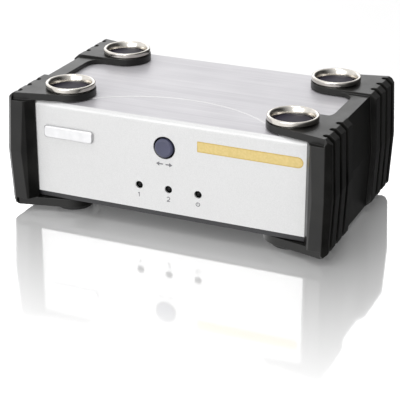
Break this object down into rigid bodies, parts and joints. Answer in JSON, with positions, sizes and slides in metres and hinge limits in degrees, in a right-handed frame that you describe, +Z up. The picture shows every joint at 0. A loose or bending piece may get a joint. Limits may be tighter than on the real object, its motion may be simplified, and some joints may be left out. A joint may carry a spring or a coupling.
{
  "type": "kvm switch",
  "caption": "Desktop KVM switch box: folded silver case between ribbed black end caps, with stacking cups on top, a select button, status lamps and rear connector columns.",
  "frame": {"origin": "on the floor under the middle of the box, at the level of the soles of the feet", "axes": "+X to the box's right end seen from the front, +Y from the front panel to the back, +Z up"},
  "size_m": [0.1424, 0.088, 0.055],
  "materials": {
    "silver_paint": "fine-grained satin silver paint",
    "dark_paint": "matt dark grey paint on folded steel",
    "black_plastic": "finely grained, slightly glossy black plastic",
    "satin_chrome": "satin chrome",
    "dark_gloss": "smooth dark purple-grey plastic",
    "rubber": "matt black rubber",
    "blue_grey_plastic": "satin blue-grey plastic",
    "black_nylon": "moulded black plastic",
    "white_nylon": "natural nylon",
    "green_board": "green solder mask on glass-fibre board",
    "smoked_lens": "smoked lens, unlit",
    "badge_metal": "bright satin plate",
    "plated_steel": "nickel-plated steel",
    "blue_plastic": "blue connector plastic",
    "purple_plastic": "purple connector plastic",
    "green_plastic": "green connector plastic"
  },
  "bodies": {
    "case": {"top_cover": "silver_paint", "base_tray": "dark_paint", "left_end_cap": "black_plastic", "right_end_cap": "black_plastic", "stacking_ring_front_left": "satin_chrome", "stacking_ring_front_right": "satin_chrome", "stacking_ring_rear_left": "satin_chrome", "stacking_ring_rear_right": "satin_chrome", "cup_floor_front_left": "dark_gloss", "cup_floor_front_right": "dark_gloss", "cup_floor_rear_left": "dark_gloss", "cup_floor_rear_right": "dark_gloss", "foot_front_left": "rubber", "foot_front_right": "rubber", "foot_rear_left": "rubber", "foot_rear_right": "rubber", "tact_switch_body": "black_nylon", "front_board": "green_board", "main_board": "green_board", "port_board": "green_board", "board_header": "black_nylon", "front_header": "black_nylon", "controller_chip": "black_nylon", "switch_chip": "black_nylon", "first_led": "smoked_lens", "second_led": "smoked_lens", "mode_led": "smoked_lens", "badge_plate": "badge_metal", "board_screw_front_left": "plated_steel", "board_screw_front_right": "plated_steel", "board_screw_rear_left": "plated_steel", "board_screw_rear_right": "plated_steel", "cover_screw_left_front": "plated_steel", "cover_screw_left_rear": "plated_steel", "cover_screw_right_front": "plated_steel", "cover_screw_right_rear": "plated_steel", "board_spacer_left": "white_nylon", "board_spacer_right": "white_nylon", "console_1_video_shell": "plated_steel", "console_2_video_shell": "plated_steel", "computer_video_shell": "plated_steel", "console_1_video_insert": "blue_plastic", "console_2_video_insert": "blue_plastic", "computer_video_insert": "blue_plastic", "jack_nut_console_1_left": "plated_steel", "jack_nut_console_1_right": "plated_steel", "jack_nut_console_2_left": "plated_steel", "jack_nut_console_2_right": "plated_steel", "jack_nut_computer_left": "plated_steel", "jack_nut_computer_right": "plated_steel", "console_1_keyboard_socket": "purple_plastic", "console_2_keyboard_socket": "purple_plastic", "console_1_mouse_socket": "green_plastic", "console_2_mouse_socket": "green_plastic", "power_jack": "black_nylon"},
    "button": {"select_button": "blue_grey_plastic", "tact_switch_plunger": "white_nylon"}
  },
  "joints": [
    {"name": "button_press", "type": "slide", "parent": "case", "child": "button", "axis": [0, 1, 0], "range_m": [0, 0.0005], "stiffness_N_per_m": 1500, "springref_m": -0.0003}
  ]
}
